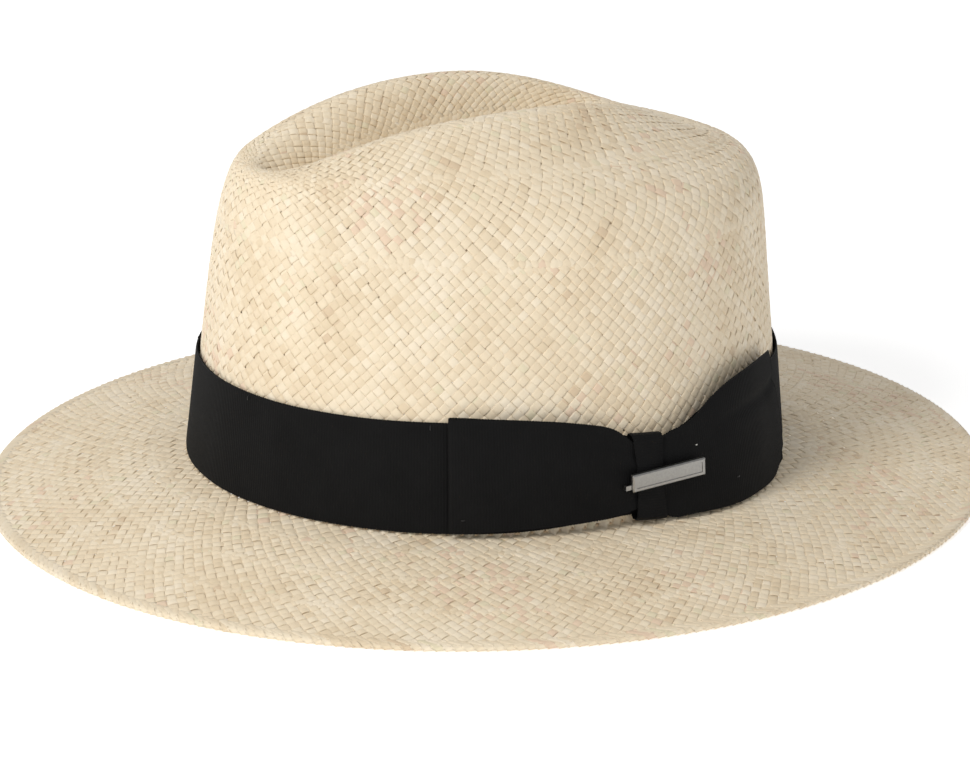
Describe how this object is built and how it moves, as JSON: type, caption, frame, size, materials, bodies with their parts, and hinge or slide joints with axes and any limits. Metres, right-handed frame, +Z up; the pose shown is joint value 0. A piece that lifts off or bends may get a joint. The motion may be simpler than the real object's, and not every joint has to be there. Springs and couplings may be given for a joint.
{
  "type": "panama fedora hat",
  "caption": "Straw fedora with a pinched, centre-dented crown, a wide downturned brim, a ribbed ribbon band with a flat side bow, a metal bar tag and a sweatband.",
  "frame": {"origin": "middle of the brim's oval, on the plane that the brim's edge rests on", "axes": "+Z up through the crown, -Y to the front of the hat, +X to the wearer's left, where the bow is"},
  "size_m": [0.29, 0.332, 0.1315],
  "materials": {
    "straw": "natural toquilla straw in a plain weave, cream with tan and pinkish strands",
    "ribbon": "black grosgrain with fine ribs across it",
    "sweatband": "natural cotton twill, soft sheen",
    "reed": "wrapped cord",
    "label": "plain woven label, blank",
    "cream_thread": "cream cotton thread",
    "black_thread": "black cotton thread",
    "silver_thread": "pale thread",
    "tag_metal": "polished pewter-coloured metal"
  },
  "bodies": {
    "root": {"straw_body": "straw", "sweatband": "sweatband", "sweatband_reed": "reed", "sweatband_seam_tab": "sweatband", "size_label": "label", "sweatband_stitches": "cream_thread", "hatband": "ribbon", "hatband_tack_stitches": "black_thread", "bow_front_loop": "ribbon", "bow_knot": "ribbon", "bow_rear_wing": "ribbon", "bow_under_tail": "ribbon", "bow_tack_stitches": "silver_thread", "bar_tag": "tag_metal", "tag_clip": "tag_metal"}
  },
  "joints": []
}
